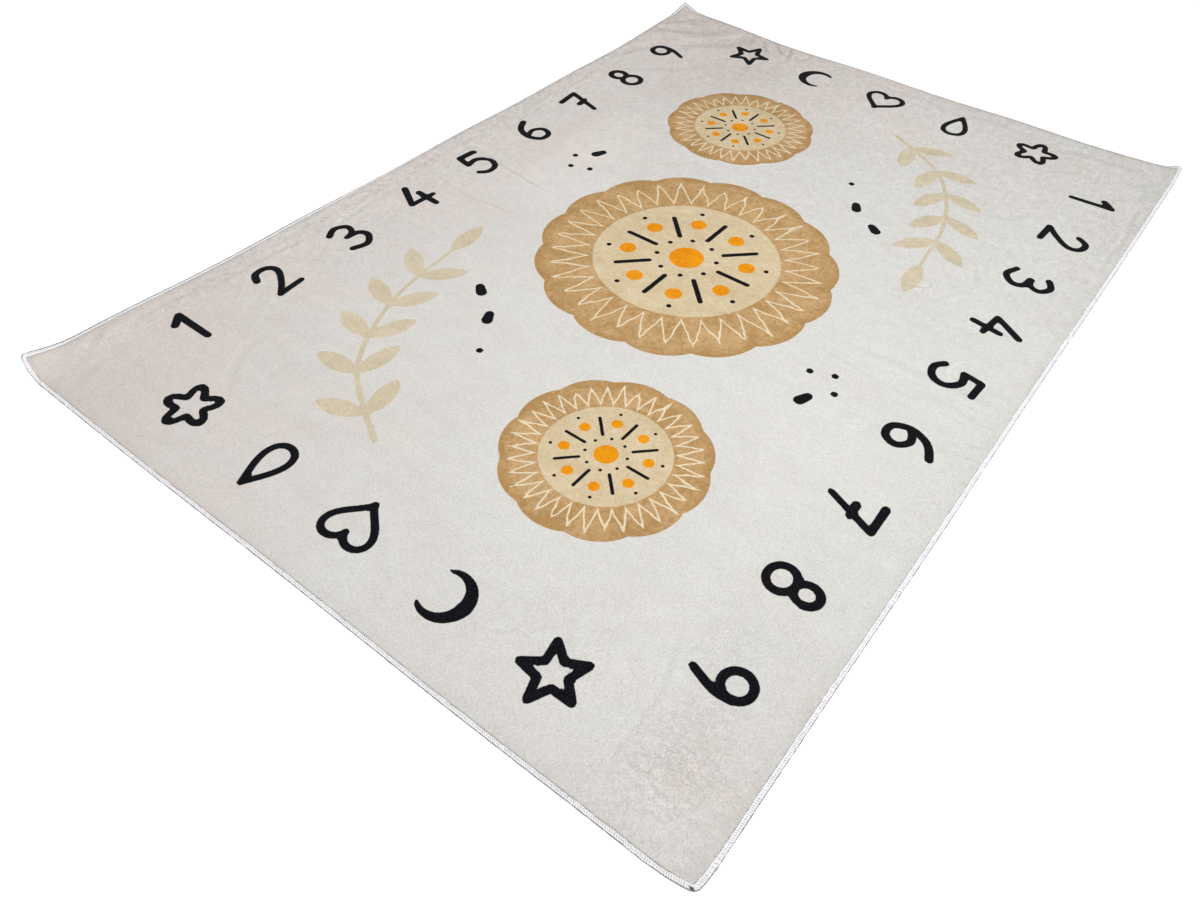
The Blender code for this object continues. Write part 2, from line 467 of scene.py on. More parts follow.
def bridge(inner, outer):
    """Triangles between two rings of equal length, leaving out those with no width."""
    faces = []
    for i in range(len(outer)):
        a, b, c, d = inner[i - 1], outer[i - 1], outer[i], inner[i]
        faces.append((a, b, c))
        if a != d:
            faces.append((a, c, d))
    return faces


def zip_rings(first, first_at, second, second_at):
    """Triangles between two rings of unequal length, by how far round each vertex is (0 to 1)."""
    faces = []
    i = j = 0
    while i < len(first) or j < len(second):
        next_first = first_at[i + 1] if i + 1 < len(first) else 1.0
        next_second = second_at[j + 1] if j + 1 < len(second) else 1.0
        a, b = first[i % len(first)], second[j % len(second)]
        if j >= len(second) or (i < len(first) and next_first <= next_second):
            faces.append((a, b, first[(i + 1) % len(first)]))
            i += 1
        else:
            faces.append((a, b, second[(j + 1) % len(second)]))
            j += 1
    return [face for face in faces if len(set(face)) == 3]


def way_round(points):
    """How far round the outline each of a ring's points is, from 0 to 1."""
    steps = np.linalg.norm(np.diff(points, axis=0, append=points[:1]), axis=1)
    return np.concatenate([[0], np.cumsum(steps)[:-1]]) / steps.sum()


# The cloth's section from the upper face over its shoulder, in under the thread to the pressed rim
# and out again below: (inset, height) pairs.
SHOULDER = (
    (0.0086, 0.00235),
    (0.0082, 0.0020),
    (BAND_WIDTH + GAP, 0.0013),
    (BAND_WIDTH + GAP, RIM_THICKNESS / 2),
    (SLOT_END + GAP, RIM_THICKNESS / 2),
    (SLOT_END + GAP, -RIM_THICKNESS / 2),
    (BAND_WIDTH + GAP, -RIM_THICKNESS / 2),
    (0.0084, -0.0022),
)


LIP_REACH = 0.0026         # how far the pile leans out over the thread, at most
LIP_RISE = 0.0014          # and how much higher it stands there
LIP_SINK = 0.0009          # how far it presses the thread's inner end down
LIP_BARE = 0.010           # how far from a corner it starts
LIP_BARE_FAR = 0.045       # and from the far one
LIP_FADE = 0.030           # and over what length it grows to the full
LIP_GROWS = (-0.35, 0.05)  # the plan u between which it grows along the far long side
LIP_NEAR = 0.45            # how much of it there is along the near long side


def lip(u, v):
    """How much the pile leans out over the thread (0 to 1), and which way, at each plan point."""
    gaps = np.stack([LENGTH / 2 - u, LENGTH / 2 + u, WIDTH / 2 - v, WIDTH / 2 + v])
    side = gaps.argmin(axis=0)
    amount = np.select([side < 2, side == 2], [1.0, np.interp(u, LIP_GROWS, (0.0, 1.0))], LIP_NEAR)
    bare = np.where((u > 0) & (v > 0), LIP_BARE_FAR, LIP_BARE)
    amount *= np.clip((np.sort(gaps, axis=0)[1] - bare) / LIP_FADE, 0, 1)
    amount *= 0.9 + 0.2 * soft_noise(u, v, 0.014, 17)
    return amount, np.array([(1, 0), (-1, 0), (0, 1), (0, -1)])[side]


def grid(xs, ys, first=0):
    """Plan points where two lists of stations cross, and their numbers, as a grid."""
    u, v = (a.ravel() for a in np.meshgrid(xs, ys, indexing="ij"))
    return u, v, first + np.arange(len(u)).reshape(len(xs), len(ys))


def grid_faces(index):
    """Quads of a grid of vertex numbers, facing up."""
    a, b, c, d = index[:-1, :-1], index[1:, :-1], index[1:, 1:], index[:-1, 1:]
    return rows(a, b, c, d).reshape(-1, 4).tolist()


# Shallow troughs in the upper face, with a low ridge along each side.  Their colour also gets painted
# shade in the trough and a painted highlight on the ridges.  Each has its width and depth in
# millimetres, how much darker it is in thousandths, and the points of its path in millimetres.
CREASES = (
    # folds it was packed in, across its middle
    (4.2, 1.0, 120, (34, 658), (33, 600), (32, 550), (22, 460), (13, 400), (4, 290)),
    (11.0, 0.8, 40, (42, 660), (36, 630), (36, 580), (34, 520)),
    (4.0, 0.7, 85, (-94, 600), (-99, 520), (-107, 465), (-100, 400), (-104, 360)),
    (3.5, 0.4, 40, (-246, 550), (-251, 480), (-246, 400)),
    (10.0, 1.0, 70, (-28, -350), (-24, -440), (-22, -500), (-20, -580), (-24, -650)),
    (4.0, 0.6, 65, (-70, -310), (-76, -380), (-83, -440), (-87, -520)),
    (6.0, 0.6, 50, (-62, -500), (-68, -550), (-70, -620)),
    (6.0, 0.8, 60, (-172, -570), (-165, -600), (-150, -655)),
    (5.5, 0.8, 55, (-148, -590), (-135, -620), (-118, -655)),
    (7.0, 0.5, 30, (100, -380), (94, -470), (90, -570)),
    (5.0, 0.4, 35, (83, 500), (72, 440), (76, 370)),
    (8.0, 0.6, 35, (185, 665), (165, 620), (150, 560)),
    (6.0, 0.5, 28, (215, 480), (207, 400), (212, 340)),
    (8.0, 0.4, 20, (-640, 550), (-650, 300), (-640, 20)),
    # along the far long side, near the most curled corner
    (6.0, 1.0, 85, (-760, 628), (-700, 631), (-660, 628), (-580, 634)),
    (5.5, 0.9, 85, (-660, 606), (-580, 612), (-500, 612), (-420, 604), (-360, 610)),
    (6.0, 0.8, 60, (-440, 632), (-340, 634), (-240, 628), (-160, 634)),
    (5.5, 0.7, 65, (-380, 586), (-280, 600), (-180, 604), (-80, 600)),
    (5.0, 0.6, 50, (-130, 628), (-20, 632), (100, 626), (200, 632)),
    (6.0, 0.6, 50, (240, 625), (340, 632), (440, 622), (560, 634)),
    (7.5, 1.2, 85, (-885, 600), (-850, 622), (-815, 645), (-770, 652)),
    (10.0, 1.0, 50, (-925, 560), (-890, 575), (-845, 592)),
    (8.0, 0.6, 35, (-790, 350), (-735, 395), (-690, 425), (-640, 430)),
    (6.0, 0.5, 40, (-720, 335), (-690, 342), (-655, 338)),
    (7.0, 0.4, 30, (-700, 300), (-600, 292), (-500, 300)),
    # ripples across the far corner
    (15.0, 4.0, 130, (775, 668), (815, 630), (840, 575), (868, 535), (920, 495)),
    (12.0, 2.4, 95, (595, 660), (640, 632), (680, 622), (730, 590)),
    (17.0, 3.0, 100, (735, 545), (790, 522), (835, 470), (890, 440), (945, 430)),
    (10.0, 2.0, 110, (838, 660), (870, 628), (905, 600), (945, 560)),
    (12.0, 1.4, 65, (560, 600), (600, 540), (660, 470), (720, 430)),
    (10.0, 1.2, 50, (690, 340), (740, 345), (800, 360), (850, 372)),
    (11.0, 1.2, 45, (760, 250), (810, 290), (850, 300)),
    # crumples beside the short far side
    (6.5, 1.4, 165, (872, 286), (892, 298), (915, 304), (945, 318)),
    (6.0, 1.6, 195, (896, 318), (916, 336), (938, 362)),
    (5.5, 1.2, 150, (876, 352), (904, 374), (930, 392)),
    (6.5, 1.2, 125, (872, 398), (900, 414), (945, 430)),
    (6.0, 1.0, 115, (895, 262), (922, 252), (945, 258)),
    (6.0, 1.0, 95, (895, 240), (910, 190), (925, 160), (920, 110)),
    (6.0, 0.8, 90, (905, 60), (900, -20), (912, -90)),
    (7.0, 0.8, 80, (890, -160), (905, -240), (898, -330)),
    (8.0, 1.0, 95, (870, -420), (890, -460), (885, -530), (900, -600)),
    (5.0, 0.6, 90, (440, -648), (520, -640), (600, -646), (700, -638), (780, -646)),
    (6.0, 0.6, 80, (760, -622), (820, -630), (890, -640), (935, -636)),
    # where it was pulled straight
    (8.0, 0.8, 45, (400, 340), (450, 270), (505, 225), (515, 130)),
    (7.0, 0.6, 35, (330, 420), (400, 330), (430, 250)),
    (8.0, 0.6, 35, (600, -240), (660, -330), (720, -365)),
    (7.0, 0.8, 55, (520, -392), (530, -425), (552, -452), (580, -462)),
    (9.0, 1.0, 60, (675, -540), (668, -580), (650, -620)),
    (10.0, 1.0, 65, (820, -580), (835, -610), (830, -655)),
    (2.6, 0.6, 160, (186, -350), (196, -380), (206, -400), (216, -406), (232, -398)),
    (6.0, 0.5, 45, (270, -475), (300, -460), (325, -448), (360, -425)),
    (8.0, 0.6, 30, (860, 180), (870, 80), (860, -100)),
    # beside the nearest corner
    (2.6, 0.5, 90, (-869, -508), (-870.5, -528), (-866, -546)),
    (2.6, 0.5, 85, (-874, -550), (-877.5, -572), (-881, -595), (-885, -632)),
    (4.5, 0.7, 60, (-930, -520), (-870, -500), (-800, -498), (-745, -486), (-650, -452)),
    (3.5, 0.5, 65, (-846, -250), (-830, -285), (-816, -300), (-818, -335)),
    (3.0, 0.5, 65, (-770, -385), (-745, -390), (-725, -400)),
    (4.0, 0.5, 50, (-870, -440), (-850, -425), (-850, -400)),
    (5.0, 0.4, 35, (-560, -300), (-555, -230), (-520, -190)),
    # pale rubbed lines
    (3.0, 0.0, -85, (-6, -600), (-4, -545), (10, -530), (30, -530), (52, -540), (60, -560)),
    (2.8, 0.0, -60, (4, -560), (8, -600), (26, -630)),
    (3.2, 0.0, -85, (-882, -530), (-880, -548), (-884, -575), (-891, -605), (-894, -625)),
    (2.8, 0.0, -80, (-929, -640), (-931, -630), (-925, -623), (-913, -622), (-905, -629), (-908, -638)),
    (3.0, 0.0, -55, (-805, -435), (-790, -430), (-772, -436), (-766, -446)),
)
CREASE_FADE = 0.20         # share of a crease over which each of its ends fades
CREASE_REACH = 3.2         # how far each way a crease shows, by its width
RIDGE_AT, RIDGE_HEIGHT = 1.9, 0.45    # of the ridges beside a crease, by its width and depth


def creases(u, v):
    """For each plan point: how much the creases move the upper face, how far it is to one side of
    the nearest crease by that crease's width, and how much painted shade darkens the pile there (the
    pale rubbed lines lighten it instead)."""
    relief, dark = np.zeros_like(u), np.zeros_like(u)
    beside = np.full_like(u, 2 * CREASE_REACH)
    for width, depth, darkness, *path in CREASES:
        width, path = width * MM, smooth_through(path) * MM
        at, here = close_to(rows(u, v), path.min(0), path.max(0), 2 * CREASE_REACH * width)
        off, share, side = beside_path(path, here)
        off /= width
        strength = np.clip(np.minimum(share, 1 - share) / CREASE_FADE, 0, 1)
        strength *= 0.8 + 0.35 * soft_noise(*here.T, 0.05, 13)
        profile = RIDGE_HEIGHT * np.exp(-(off - RIDGE_AT) ** 2) - np.exp(-off ** 2)
        relief[at] += depth * MM * strength * profile
        nearer = off < np.abs(beside[at])
        beside[at[nearer]] = (side * off)[nearer]
        dark[at[nearer]] = (darkness / 1000 * strength * np.clip(CREASE_REACH - off, 0, 1))[nearer]
    return relief, beside, dark


FAR_REACH_X, FAR_REACH_Y = 0.42, 0.34     # how far from the far corner the cloth is rumpled


def pile_height(u, v):
    """The upper face's height: the pile lies unevenly, in soft dents and ridges."""
    relief = 0.00014 * soft_noise(u, v, 0.020, 1) + 0.00022 * soft_noise(u, v * 0.45, 0.05, 2)
    relief += 0.00040 * soft_noise(u, v, 0.17, 3) + creases(u, v)[0]
    relief += 0.0009 * soft_noise(u, v, 0.045, 4) * far_corner(u, v)
    return THICKNESS / 2 + relief


def far_corner(u, v):
    """1 at the far corner, where the cloth is most rumpled, falling to 0 away from it."""
    return ease((LENGTH / 2 - u) / FAR_REACH_X) * ease((WIDTH / 2 - v) / FAR_REACH_Y)


# Painted sheen and shade, in ovals where the pile is brushed another way and where the light falls
# unevenly: its middle, its reach along u and v, its turn, its fade as a share of it, and how light it
# is.
PATCHES = (
    (0.16, 0.37, 0.26, 0.11, 0.1, 0.35, 1.6),
    (-0.70, -0.59, 0.25, 0.10, 0.22, 0.15, -1.1),
    (-0.30, -0.42, 0.22, 0.12, 0.1, 0.6, 0.9),
    (0.66, 0.38, 0.22, 0.15, -0.3, 0.5, -1.6),
    (0.88, 0.46, 0.10, 0.30, 0.0, 0.6, -2.2),
    (0.78, -0.10, 0.15, 0.34, 0.0, 0.7, 1.3),
    (0.76, 0.31, 0.09, 0.09, 0.0, 0.6, -1.6),
    (0.24, 0.40, 0.12, 0.09, 0.0, 0.7, 1.7),
    (0.90, 0.60, 0.10, 0.08, 0.0, 0.7, -1.0),
    (0.10, 0.40, 0.10, 0.09, 0.0, 0.7, 0.7),
    (0.50, 0.56, 0.30, 0.07, -0.1, 0.7, 0.5),
    (-0.55, 0.30, 0.24, 0.10, 0.3, 0.7, 0.7),
    (-0.90, 0.52, 0.09, 0.16, 0.0, 0.8, -0.8),
    (0.45, -0.52, 0.25, 0.06, -0.1, 0.6, 0.6),
    (0.10, -0.45, 0.07, 0.16, 0.1, 0.5, -0.7),
    (0.66, -0.10, 0.10, 0.20, 0.5, 0.6, 0.5),
    (-0.62, -0.42, 0.12, 0.05, 0.3, 0.4, 0.4),
    (-0.91, -0.60, 0.05, 0.06, 0.0, 0.8, 1.8),
)
# Ovals, each with its middle, its reach along u and v, and its strength.
SCUFFS = (                 # where the pile is rubbed up into pale flecks
    (-0.200, -0.460, 0.020, 0.036, 1.0), (-0.170, -0.445, 0.020, 0.012, 0.7),
    (0.022, -0.560, 0.032, 0.034, 0.6), (-0.245, -0.620, 0.026, 0.030, 0.5),
    (-0.080, -0.635, 0.012, 0.012, 1.0), (-0.915, -0.632, 0.020, 0.014, 0.6),
    (-0.878, -0.565, 0.012, 0.045, 0.6), (-0.780, -0.440, 0.026, 0.010, 0.6),
    (-0.845, -0.530, 0.050, 0.030, 0.35), (0.160, 0.645, 0.014, 0.016, 1.0),
    (-0.822, 0.465, 0.006, 0.006, 0.9), (-0.935, 0.135, 0.008, 0.012, 0.8),
    (0.905, 0.330, 0.030, 0.060, 1.2), (0.730, -0.600, 0.030, 0.020, 0.3),
)
WARM_SPOTS = (             # where it looks warmer
    (0.20, 0.40, 0.17, 0.11, 0.45), (0.76, -0.08, 0.15, 0.40, 0.50), (0.76, 0.30, 0.10, 0.10, 0.15),
    (0.62, -0.60, 0.20, 0.05, 0.25), (-0.82, -0.58, 0.12, 0.08, 0.15), (0.90, 0.60, 0.12, 0.10, 0.30),
)
CRUMPLES = (               # where the pile is crumpled
    (-0.84, -0.57, 0.13, 0.09, 1.0), (-0.70, -0.53, 0.10, 0.06, 0.5), (-0.80, -0.35, 0.10, 0.12, 0.35),
    (0.90, 0.36, 0.045, 0.11, 1.0), (0.89, 0.10, 0.05, 0.25, 0.6), (0.85, 0.56, 0.10, 0.12, 0.8),
    (-0.60, 0.625, 0.33, 0.035, 0.7), (0.05, 0.63, 0.40, 0.040, 0.7), (0.89, -0.40, 0.05, 0.28, 0.6),
    (-0.20, -0.63, 0.30, 0.030, 0.4), (0.60, -0.62, 0.33, 0.045, 0.6), (0.30, 0.38, 0.22, 0.14, 0.4),
    (0.70, 0.20, 0.14, 0.20, 0.4), (-0.45, 0.50, 0.30, 0.08, 0.4),
)


def nap(u, v):
    """How light the pile looks at each plan point: painted sheen and shade of the way it lies and of
    uneven light.
    """
    light = 0.45 * soft_noise(u, v * 0.5, 0.09, 7) + 0.35 * soft_noise(u, v, 0.035, 8)
    for middle_u, middle_v, reach_u, reach_v, turn, fade, lightness in PATCHES:
        x, y = u - middle_u, v - middle_v
        c, s = cos(turn), sin(turn)
        off = np.hypot((c * x + s * y) / reach_u, (c * y - s * x) / reach_v)
        off += 0.12 * soft_noise(u, v, 0.03, 9)
        light += lightness * (1 - ease((1 - off) / fade))
    return light


def covered(ovals, u, v):
    """How strongly each plan point is in any of the ovals."""
    amount = np.zeros_like(u)
    for middle_u, middle_v, reach_u, reach_v, strength in ovals:
        off = ((u - middle_u) / reach_u) ** 2 + ((v - middle_v) / reach_v) ** 2
        amount = np.maximum(amount, strength * np.exp(-off))
    return amount


def make_cloth(pile, backing):
    xs, ys = even_stations(LENGTH, CELL), even_stations(WIDTH, CELL)
    u, v, index = grid(xs, ys)
    at_rim = np.minimum(LENGTH / 2 - np.abs(u), WIDTH / 2 - np.abs(v)) < CORNER_RADIUS + CELL / 2
    blocks = [(u, v, pile_height(u, v) + 0.7 * LIP_RISE * lip(u, v)[0] * at_rim)]
    faces = grid_faces(index)
    last = round_border(index)
    count = len(u)
    for inset, height in SHOULDER:
        points = ring(inset, xs, ys)
        leaning, out = lip(*points.T)
        leaning *= inset > BAND_WIDTH + GAP and height > 0
        points = points + LIP_REACH * leaning[:, None] * out
        blocks.append((points[:, 0], points[:, 1], height + LIP_RISE * leaning))
        this = np.arange(count, count + len(points))
        faces += bridge(last, this)
        count += len(points)
        last = this
    upper_faces = len(faces)

    low_xs, low_ys = graded_stations(LENGTH), graded_stations(WIDTH)
    low_u, low_v, low_index = grid(low_xs, low_ys, count)
    blocks.append((low_u, low_v, np.full(len(low_u), -THICKNESS / 2)))
    faces += [face[::-1] for face in grid_faces(low_index)]
    border = round_border(low_index)
    border_at = way_round(ring(SHOULDER[-1][0], low_xs, low_ys))
    keep = np.append(True, border[1:] != border[:-1])
    last_at = way_round(points)
    faces += zip_rings(last, last_at, border[keep], border_at[keep])

    u, v, height = (np.concatenate(column) for column in zip(*blocks))
    slots = np.zeros(len(faces), dtype=np.int32)
    slots[upper_faces:] = 1
    cloth = new_object("rug_cloth", laid(u, v, height), faces, [pile, backing], slots)
    looks = print_layers(u, v)
    _, looks["crease_beside"], looks["crease_shade_and_wear"] = creases(u, v)
    looks.update(nap=nap(u, v), scuff=covered(SCUFFS, u, v), crumple=covered(CRUMPLES, u, v))
    looks.update(warm_spot=covered(WARM_SPOTS, u, v), sun_place=sun_places(u, v))
    looks["plan"] = rows(u, v, height)
    for name, values in looks.items():
        store(cloth.data, name, values)
    map_cloth(cloth.data, u, v)
    return cloth


UPPER_SHARE = 0.84         # of the texture, for the upper face


def read(items, name):
    """A whole number of each of a mesh's items."""
    values = np.zeros(len(items), dtype=np.int32)
    items.foreach_get(name, values)
    return values


def map_cloth(mesh, u, v):
    """A flat map: the upper face over most of the square, the underside over what is left."""
    corners = read(mesh.loops, "vertex_index")
    slots = read(mesh.polygons, "material_index")
    sizes = read(mesh.polygons, "loop_total")
    below = np.repeat(slots, sizes) == 1
    across = u[corners] / LENGTH + 0.5
    up = v[corners] / WIDTH + 0.5
    up = np.where(below, UPPER_SHARE + 0.01 + up * (0.99 - UPPER_SHARE), up * UPPER_SHARE)
    across = 0.002 + 0.996 * across
    mesh.uv_layers.new(name="OFBake").data.foreach_set("uv", rows(across, up).ravel())


# ---------------------------------------------------------------- the overlocked edge
def on_edge(along, inset):
    """Plan points at a distance along the outline (from the middle of +X, anticlockwise)."""
    along = np.mod(along + RUN_Y / 2, PERIMETER)
    u, v = np.zeros_like(along), np.zeros_like(along)
    radius = CORNER_RADIUS - inset
    start = 0.0
    for quarter in range(4):
        run, across = (RUN_X, RUN_Y) if quarter % 2 else (RUN_Y, RUN_X)
        t = along - start
        angle = (t - run) / CORNER_RADIUS
        out = across / 2 + np.where(t < run, radius, radius * np.cos(angle))
        side = np.where(t < run, t - run / 2, run / 2 + radius * np.sin(angle))
        c, s = round(cos(quarter * pi / 2)), round(sin(quarter * pi / 2))
        here = (t >= 0) & (t < run + ARC)
        u[here] = (c * out - s * side)[here]
        v[here] = (s * out + c * side)[here]
        start += run + ARC
    return u, v


def edge_point(along, inset, height):
    u, v = on_edge(along, inset)
    return laid(u, v, height)


def quarter_ranges():
    """The four stretches of the edge, split in the middle of each rounded corner."""
    start = -RUN_Y / 2 - ARC / 2
    for run in (RUN_Y, RUN_X, RUN_Y, RUN_X):
        yield start, start + run + ARC
        start += run + ARC


# One wrap of thread: its inset and height in the section, how far it has moved on along the edge as
# a share of a stitch, and half its thickness and half its breadth, by THREAD.
WRAP = (
    (0.0074, 0.00200, 0.00, 0.72, 1.85),
    (0.0062, 0.00242, 0.10, 0.80, 1.95),
    (0.0049, 0.00250, 0.22, 0.80, 1.90),
    (0.0037, 0.00228, 0.34, 0.78, 1.60),
    (0.0023, 0.00175, 0.50, 0.78, 1.60),
    (0.0011, 0.00090, 0.66, 0.85, 1.80),
    (0.0008, -0.00050, 0.78, 0.85, 1.10),
    (0.0017, -0.00140, 0.86, 0.80, 1.10),
    (0.0038, -0.00175, 0.93, 0.80, 1.20),
    (0.0067, -0.00170, 1.00, 0.80, 1.30),
)
# How much wraps differ: in place along the edge, as a share of a stitch, and in inset and height.
ONWARD_SPREAD, INSET_SPREAD, HEIGHT_SPREAD = 0.06, 0.00018, 0.00009
PRESSED = (0.0040, 0.0074) # the insets between which the pile presses a wrap more and more
LEAN_INSET = 0.008         # where on the edge it is read how far the pile leans out
GUIDE_STEP = 0.001         # how far on along the edge the next place is that shows its heading


def make_wraps(name, start, end, material, dice):
    """The looper thread, wound round the rim from one corner to the next."""
    count = int((end - start) / STITCH)
    inset, height, onward, thick, broad = np.array(WRAP).T
    onward = onward + dice.normal(0, ONWARD_SPREAD, (count, 1))
    along = start + STITCH * (np.arange(count)[:, None] + onward)
    inset = inset + dice.normal(0, INSET_SPREAD, (count, 1))
    leaning = lip(*on_edge(along[:, 0], LEAN_INSET))[0][:, None]
    sink = leaning * np.interp(inset, PRESSED, (0.0, LIP_SINK))
    height = height + (dice.normal(0, HEIGHT_SPREAD, (count, 1)) - sink) * (height > 0)
    thick = THREAD * thick * dice.uniform(0.90, 1.10, (count, 1))
    broad = THREAD * broad * dice.uniform(0.82, 1.12, (count, 1))
    along, inset, height, thick, broad = (a.ravel() for a in (along, inset, height, thick, broad))
    points = edge_point(along, inset, height)
    guide = edge_point(along + GUIDE_STEP, inset, height) - points
    return chained_tubes(name, points, thick, broad, guide, len(WRAP), material)


TUBE_SIDES = 6


def chained_tubes(name, points, thick, broad, guide, length, material):
    """One object of many short tubes, each through the next few points, its ends closed.

    A tube is thick across its guide, and broad along it.
    """
    points = points.reshape(-1, length, 3)
    ahead = unit(np.gradient(points, axis=1))
    first = unit(np.cross(ahead, guide.reshape(-1, length, 3)))
    second = np.cross(ahead, first)
    turns = 2 * pi * np.arange(TUBE_SIDES) / TUBE_SIDES
    across = thick.reshape(-1, length, 1, 1) * np.cos(turns)[:, None] * first[:, :, None]
    along = broad.reshape(-1, length, 1, 1) * np.sin(turns)[:, None] * second[:, :, None]
    verts = (points[:, :, None] + across + along).reshape(-1, 3)
    index = np.arange(len(verts)).reshape(-1, length, TUBE_SIDES)
    after = np.roll(index, -1, axis=2)
    quads = rows(index[:, :-1], after[:, :-1], after[:, 1:], index[:, 1:]).reshape(-1, 4)
    caps = np.concatenate([index[:, 0, ::-1], index[:, -1]])
    return new_object(name, verts, quads.tolist() + caps.tolist(), [material])


# Threads that run along the edge.  On the two far sides the seam has rolled, so that the outer ones
# lie higher.  The sway is how far a thread swings across at each stitch.
Rail = namedtuple("Rail", "name inset height thick far_inset far_height far_thick sway dark")
RAILS = (
    Rail("needle", 0.0066, 0.00240, 1.15, 0.0066, 0.00235, 1.00, 0.00040, False),
    Rail("outer", 0.0013, 0.00120, 0.80, 0.0009, 0.00120, 0.95, 0.00020, False),
    # The dark rim thread's colour is painted shadow under the edge.
    Rail("rim", 0.0001, 0.00005, 0.82, 0.0012, 0.00190, 1.15, 0.00005, True),
)
RIM_TURNED = 0.0022        # how much further in the dark one lies where the pile leans out over it
RAIL_STEPS = 5             # points for each stitch of a rail
RAIL_RISE = 0.00010        # how much it rises and falls at each
ROLL_TURN = 12             # how quickly the seam rolls over, past the two side corners
WOBBLE, WOBBLE_CELL = 0.00036, 0.006    # how far a rail strays, and how often


def make_rail(name, rail, start, end, material, dice):
    """A row of linked stitches from one corner to the next."""
    count = int((end - start) / STITCH) * RAIL_STEPS
    along = np.linspace(start, end, count)
    u, v = on_edge(along, rail.inset)
    rolled = np.clip(0.5 + ROLL_TURN * (u / LENGTH + v / WIDTH), 0, 1)
    leaning = lip(u, v)[0]
    phase = 2 * pi * along / STITCH
    knots = np.arange(start, end + WOBBLE_CELL, WOBBLE_CELL)
    wobble = WOBBLE * (0.4 if rail.dark else 1.0)

    def rolling(near, far):
        return near + (far - near) * rolled

    inset = rolling(rail.inset, rail.far_inset)
    inset += rail.sway * np.sin(phase) + np.interp(along, knots, dice.normal(0, wobble, len(knots)))
    if rail.name == "needle":
        inset -= 0.7 * LIP_REACH * leaning
    if rail.dark:
        inset += RIM_TURNED * leaning * rolled
    height = rolling(rail.height, rail.far_height) + RAIL_RISE * np.cos(phase)
    guide = cloth_normal(*on_edge(along, inset))
    radii = THREAD * rolling(rail.thick, rail.far_thick)
    if not rail.dark:
        radii *= 0.82 + 0.26 * np.abs(np.cos(phase / 2))
    points = edge_point(along, inset, height)
    return chained_tubes(name, points, radii, radii, guide, count, material)


# Where the seam starts and ends, by the nearest corner, short dark ends of thread are left: how far
# each starts from the corner, along the edge, and its inset and height there.
LOOSE_ENDS = ((-0.0074, 0.0024, 0.0030), (-0.0066, 0.0014, 0.0024), (-0.0060, 0.0006, 0.0016))
LOOSE_RUN = 0.0050         # their length
LOOSE_THICK = 0.55         # half their thickness, by THREAD


def make_loose_ends(corner_at, material):
    share = np.linspace(0, 1, 6)
    along, inset, height = np.array(LOOSE_ENDS).T[:, :, None]
    along = (corner_at + along + LOOSE_RUN * share).ravel()
    inset = (inset - 0.0010 * share + 0.0003 * np.sin(3 * share)).ravel()
    height = (height - 0.0003 * share).ravel()
    points = edge_point(along, inset, height)
    guide = cloth_normal(*on_edge(along, inset))
    radii = np.full(len(points), THREAD * LOOSE_THICK)
    return chained_tubes("edging_loose_ends", points, radii, radii, guide, len(share), material)


BASE_STEPS = 10
BASE_CELL = 0.012
BASE_SINK = 0.00035        # the base lies this far inside the CAD band, under the threads


def make_edge_base(material):
    """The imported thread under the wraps: the CAD band's section, carried round the outline."""
    xs, ys = even_stations(LENGTH, BASE_CELL), even_stations(WIDTH, BASE_CELL)
    turns = pi / 2 - pi * np.arange(BASE_STEPS + 1) / BASE_STEPS
    inset = BASE_SINK + (BAND_WIDTH - BASE_SINK) * (1 - np.cos(turns))
    height = (BAND_HEIGHT / 2 - BASE_SINK) * np.sin(turns)
    slot = RIM_THICKNESS / 2 + GAP
    section = [*zip(inset, height), (BAND_WIDTH, -slot), (SLOT_END, -slot)]
    section += [(SLOT_END, slot), (BAND_WIDTH, slot)]
    verts, rings, faces = [], [], []
    for depth, level in section:
        points = ring(depth, xs, ys)
        rings.append(len(verts) * len(points) + np.arange(len(points)))
        verts.append(laid(points[:, 0], points[:, 1], np.full(len(points), level)))
    for a, b in zip(rings, rings[1:] + rings[:1]):
        faces += [face[::-1] for face in bridge(a, b)]
    return new_object("edging_base", np.vstack(verts), faces, [material])


FRINGE_PER_METRE = 2600
FRINGE_REACH = 0.0020
# The least and the most of a tuft's root inset, root height, tip height and half width.
ROOT_INSET, ROOT_HEIGHT = (0.0079, 0.0092), (0.0013, 0.0022)
TIP_HEIGHT, HALF_WIDTH = (0.0022, 0.0032), (0.00018, 0.00034)
SIDE_HEIGHT = 0.002        # where the edge's direction is taken for it


